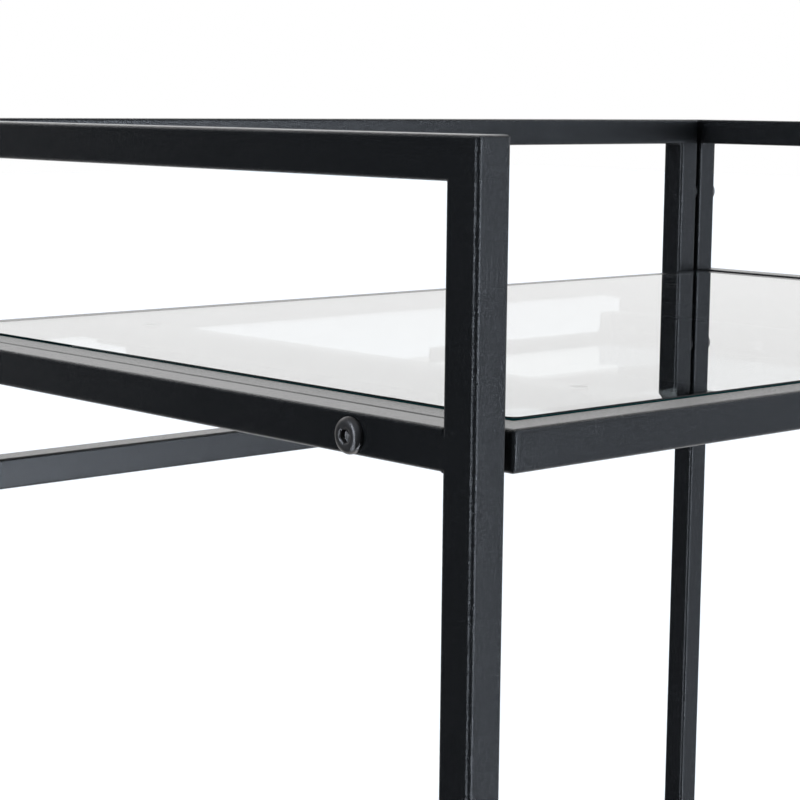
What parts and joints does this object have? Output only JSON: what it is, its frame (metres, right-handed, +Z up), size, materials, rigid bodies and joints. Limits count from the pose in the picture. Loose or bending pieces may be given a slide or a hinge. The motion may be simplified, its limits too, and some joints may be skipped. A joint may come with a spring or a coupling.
{
  "type": "computer desk",
  "caption": "Square-tube steel computer desk with a drop-in glass top, a raised gallery on three sides and a slide-out keyboard tray with a glass panel.",
  "frame": {"origin": "on the floor under the middle of the desk", "axes": "+X to the right along the front, +Y from the front to the back, +Z up"},
  "size_m": [0.8078, 0.55, 0.876],
  "materials": {
    "frame_powder_coat": "fine-textured satin black powder coat",
    "hanger_powder_coat": "satin black powder coat",
    "tray_powder_coat": "fine-textured satin black powder coat",
    "tempered_glass": "clear tempered glass, ground and polished edge with a green cast",
    "foot_nylon": "moulded black nylon",
    "spacer_nylon": "moulded black nylon",
    "bumper_rubber": "clear soft bumper",
    "foam_tape": "black closed-cell foam tape",
    "bolt_black_steel": "black-zinc plated steel",
    "insert_zinc": "bright zinc plated steel",
    "rivet_steel": "zinc plated steel",
    "slide_zinc": "bright zinc plated rolled steel",
    "cage_steel": "plain pressed steel"
  },
  "bodies": {
    "root": {"back_bottom_rail": "frame_powder_coat", "back_frame_bolts": "bolt_black_steel", "back_frame_rivet_nuts": "insert_zinc", "back_frame_spacers": "spacer_nylon", "back_left_post": "frame_powder_coat", "back_right_post": "frame_powder_coat", "back_top_rail": "frame_powder_coat", "desktop_bolts": "bolt_black_steel", "desktop_front_rail": "frame_powder_coat", "desktop_left_rail": "frame_powder_coat", "desktop_rear_rail": "frame_powder_coat", "desktop_right_rail": "frame_powder_coat", "desktop_rivet_nuts": "insert_zinc", "desktop_spacers": "spacer_nylon", "glass_bumpers": "bumper_rubber", "glass_support_tabs": "frame_powder_coat", "glass_top": "tempered_glass", "hanger_rivet_nuts": "insert_zinc", "hanger_rivets": "rivet_steel", "hanger_screws": "bolt_black_steel", "left_front_foot": "foot_nylon", "left_front_leg": "frame_powder_coat", "left_rear_foot": "foot_nylon", "left_rear_leg": "frame_powder_coat", "left_side_rail": "frame_powder_coat", "left_slide_outer_member": "slide_zinc", "left_top_rail": "frame_powder_coat", "left_tray_bearer": "frame_powder_coat", "left_tray_hanger": "hanger_powder_coat", "right_front_foot": "foot_nylon", "right_front_leg": "frame_powder_coat", "right_rear_foot": "foot_nylon", "right_rear_leg": "frame_powder_coat", "right_side_rail": "frame_powder_coat", "right_slide_outer_member": "slide_zinc", "right_top_rail": "frame_powder_coat", "right_tray_bearer": "frame_powder_coat", "right_tray_hanger": "hanger_powder_coat"},
    "keyboard_tray": {"keyboard_tray": "tray_powder_coat", "tray_glass": "tempered_glass", "tray_glass_tape": "foam_tape", "left_slide_inner_member": "slide_zinc", "right_slide_inner_member": "slide_zinc", "tray_rivets": "rivet_steel"},
    "left_slide_middle": {"left_slide_middle_member": "slide_zinc", "left_slide_ball_cages": "cage_steel"},
    "right_slide_middle": {"right_slide_middle_member": "slide_zinc", "right_slide_ball_cages": "cage_steel"}
  },
  "joints": [
    {"name": "keyboard_tray_slide", "type": "slide", "parent": "root", "child": "keyboard_tray", "axis": [0, -1, 0], "range_m": [0, 0.29]},
    {"name": "left_middle_slide", "type": "slide", "parent": "root", "child": "left_slide_middle", "axis": [0, -1, 0], "range_m": [0, 0.145]},
    {"name": "right_middle_slide", "type": "slide", "parent": "root", "child": "right_slide_middle", "axis": [0, -1, 0], "range_m": [0, 0.145]}
  ],
  "couplings": [
    {"joint": "left_middle_slide", "follows": "keyboard_tray_slide", "ratio": 0.5},
    {"joint": "right_middle_slide", "follows": "keyboard_tray_slide", "ratio": 0.5}
  ]
}
